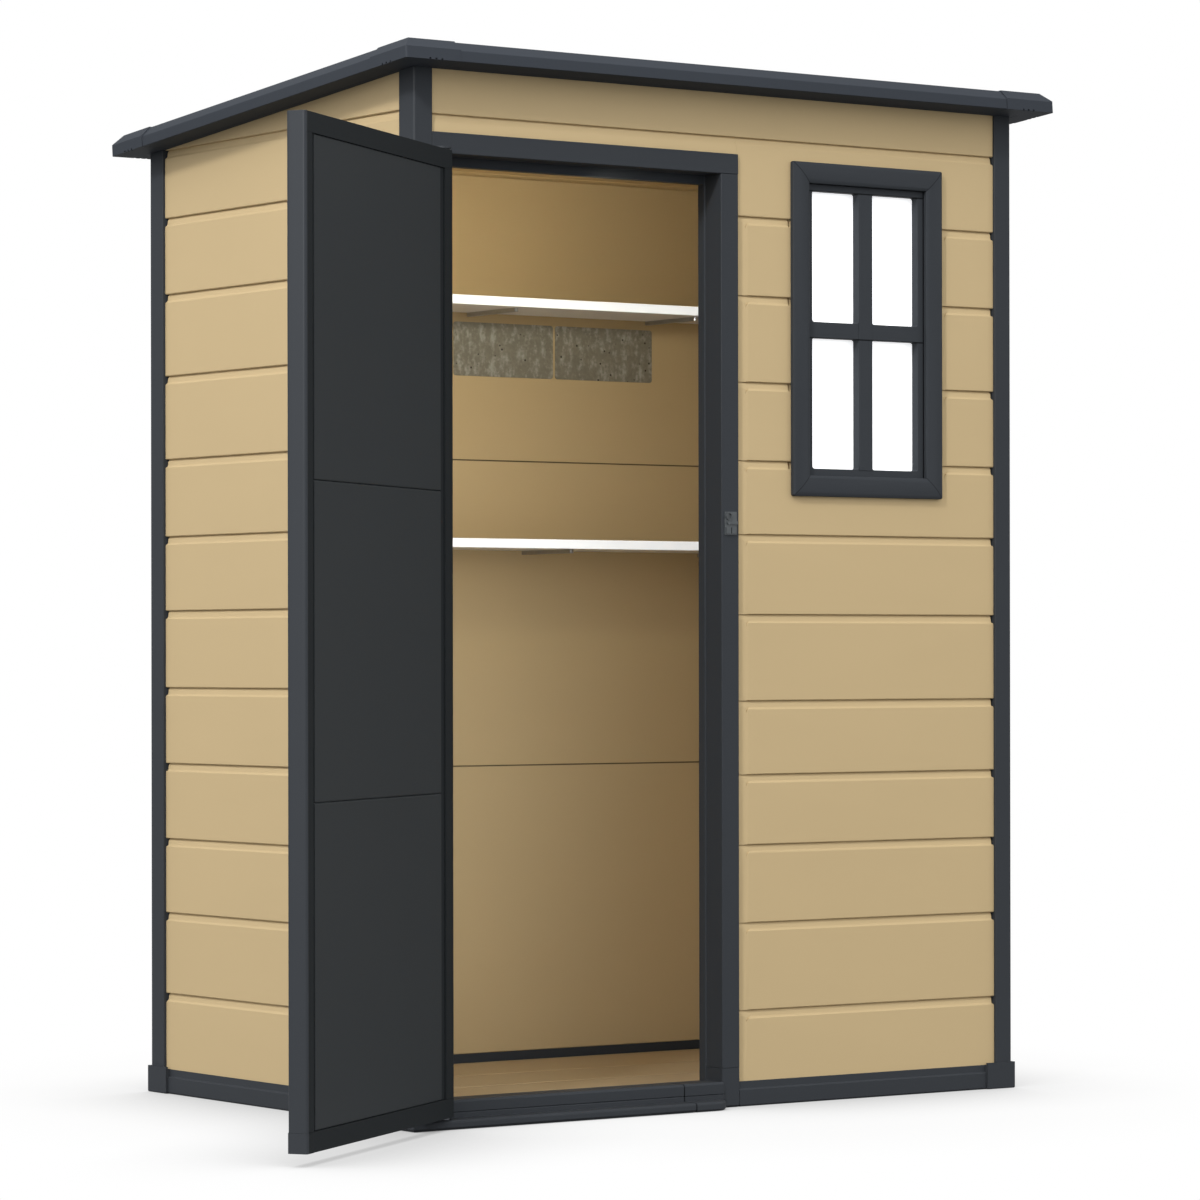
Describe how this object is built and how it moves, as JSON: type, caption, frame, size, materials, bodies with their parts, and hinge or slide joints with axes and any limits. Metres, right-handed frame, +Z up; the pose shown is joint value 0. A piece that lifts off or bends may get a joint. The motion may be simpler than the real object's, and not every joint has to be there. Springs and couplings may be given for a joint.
{
  "type": "resin garden shed",
  "caption": "Pent-roofed resin garden shed with plank-pattern walls, a four-paned window, inner shelves, tool plates and a pivoted door that swings open past the corner.",
  "frame": {"origin": "on the ground at the middle of the footprint between the corner posts, on the floor's underside", "axes": "+Z up, -Y out of the front wall with the door and window, +X to the right seen from the front"},
  "size_m": [1.9988, 1.4304, 1.9759],
  "materials": {
    "wall_resin": "sand-coloured resin with a fine matt moulded grain",
    "floor_resin": "sand-coloured resin deck",
    "frame_resin": "anthracite resin, satin",
    "door_frame_resin": "darker anthracite resin, fine matt grain",
    "door_panel_resin": "anthracite resin, fine matt grain",
    "roof_resin": "anthracite resin, satin",
    "opal_pane": "opal white acrylic",
    "shelf_white": "white lacquered board",
    "bracket_steel": "zinc-plated steel",
    "galvanised_plate": "galvanised sheet with a mottled spangle",
    "pin_steel": "zinc-plated steel",
    "keeper_steel": "black-grey painted steel"
  },
  "bodies": {
    "shed": {"floor": "floor_resin", "base_rails": "frame_resin", "corner_feet": "frame_resin", "door_sill": "frame_resin", "door_ledge": "frame_resin", "jamb_foot": "frame_resin", "corner_posts": "frame_resin", "latch_jamb": "frame_resin", "lintel": "frame_resin", "front_panel_lower": "wall_resin", "front_panel_middle": "wall_resin", "front_panel_upper": "wall_resin", "front_top_board": "wall_resin", "left_panel_lower": "wall_resin", "left_panel_middle": "wall_resin", "left_panel_upper": "wall_resin", "left_gable": "wall_resin", "right_panel_lower": "wall_resin", "right_panel_middle": "wall_resin", "right_panel_upper": "wall_resin", "right_gable": "wall_resin", "back_panel_lower": "wall_resin", "back_panel_middle": "wall_resin", "back_panel_upper": "wall_resin", "window_trim": "frame_resin", "window_sash": "frame_resin", "window_pane": "opal_pane", "roof_panels": "roof_resin", "roof_edges": "roof_resin", "roof_corner_caps": "roof_resin", "pivot_bracket": "frame_resin", "latch_keeper": "keeper_steel", "shelf_upper": "shelf_white", "shelf_lower": "shelf_white", "shelf_brackets": "bracket_steel", "tool_plates": "galvanised_plate"},
    "door": {"door_stiles": "door_frame_resin", "door_rails": "door_frame_resin", "door_panel_lower": "door_panel_resin", "door_panel_middle": "door_panel_resin", "door_panel_upper": "door_panel_resin", "door_pivot_pins": "pin_steel", "door_handle": "door_frame_resin"}
  },
  "joints": [
    {"name": "door_hinge", "type": "hinge", "parent": "shed", "child": "door", "pos_m": [-0.6655, -0.5025, 0.9], "axis": [0, 0, 1], "range_deg": [-25, 145]}
  ]
}
